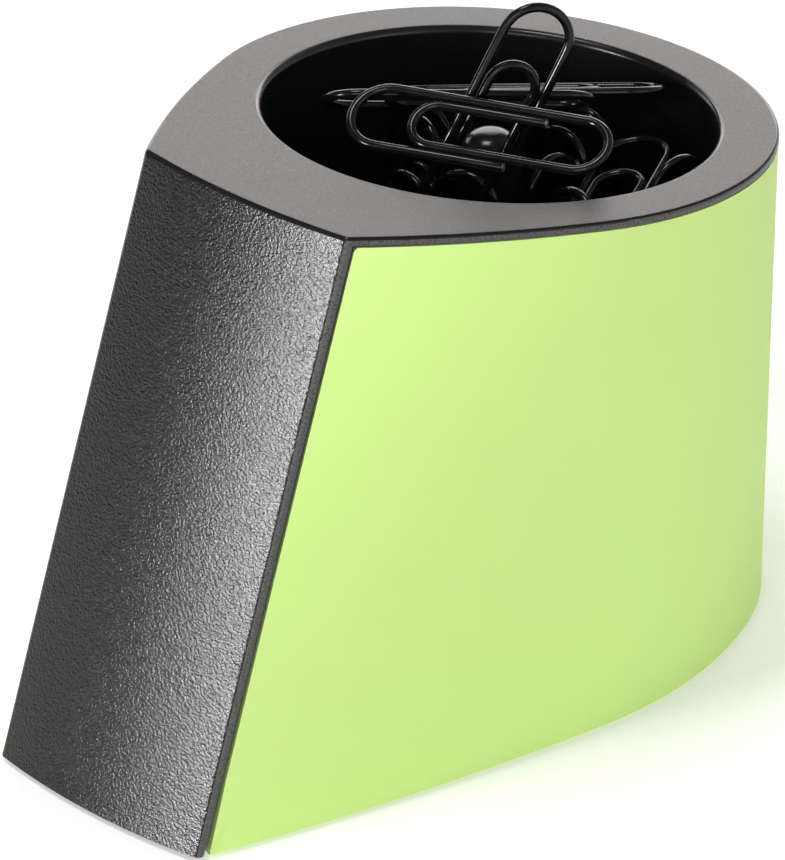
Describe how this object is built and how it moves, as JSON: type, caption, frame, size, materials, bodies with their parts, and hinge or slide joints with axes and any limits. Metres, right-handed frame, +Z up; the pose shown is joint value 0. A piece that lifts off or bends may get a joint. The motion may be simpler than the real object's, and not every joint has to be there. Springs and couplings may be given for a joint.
{
  "type": "paper clip holder",
  "caption": "Wedge-shaped desk holder for paper clips: a frame with a sloping rim, a round magnetic cup and a leaning front panel, wrapped by a side sleeve and filled with wire clips.",
  "frame": {"origin": "centre of the bounding box's bottom, on the surface that the feet stand on", "axes": "+Z up, front panel towards -Y, +X to the right seen from the front"},
  "size_m": [0.058, 0.0878, 0.0701],
  "materials": {
    "body_black": "fine spark-eroded texture, satin",
    "sleeve_green": "smooth, satin gloss",
    "base_black": "matte",
    "magnet_steel": "nickel plated",
    "screw_steel": "zinc plated",
    "foot_rubber": "matte",
    "clip_black": "glossy coating"
  },
  "bodies": {
    "holder": {"frame": "body_black", "side_sleeve": "sleeve_green", "base_plate": "base_black", "magnet": "magnet_steel", "screw_front": "screw_steel", "screw_left": "screw_steel", "screw_right": "screw_steel", "foot_front_left": "foot_rubber", "foot_front_right": "foot_rubber", "foot_rear_left": "foot_rubber", "foot_rear_right": "foot_rubber"},
    "clip_bunch": {"clip_right_back": "clip_black", "clip_right_mid": "clip_black", "clip_right_near": "clip_black", "clip_right_front": "clip_black", "clip_front": "clip_black", "clip_front_left": "clip_black", "clip_left": "clip_black", "clip_left_near": "clip_black", "clip_right_wall": "clip_black", "clip_right_flat": "clip_black"},
    "clips_back": {"clip_back_low": "clip_black", "clip_back_high": "clip_black"},
    "clip_on_top": {"clip_lying": "clip_black"},
    "clip_standing": {"clip_upright": "clip_black"}
  },
  "joints": [
    {"name": "bunch_lift", "type": "slide", "parent": "holder", "child": "clip_bunch", "axis": [0, 0, 1], "range_m": [0, 0.06]},
    {"name": "back_lift", "type": "slide", "parent": "clip_bunch", "child": "clips_back", "axis": [0, 0, 1], "range_m": [0, 0.03]},
    {"name": "top_lift", "type": "slide", "parent": "clips_back", "child": "clip_on_top", "axis": [0, 0, 1], "range_m": [0, 0.03]},
    {"name": "upright_pull", "type": "slide", "parent": "clip_bunch", "child": "clip_standing", "axis": [0.1972, 0.4429, 0.8746], "range_m": [0, 0.035]}
  ]
}
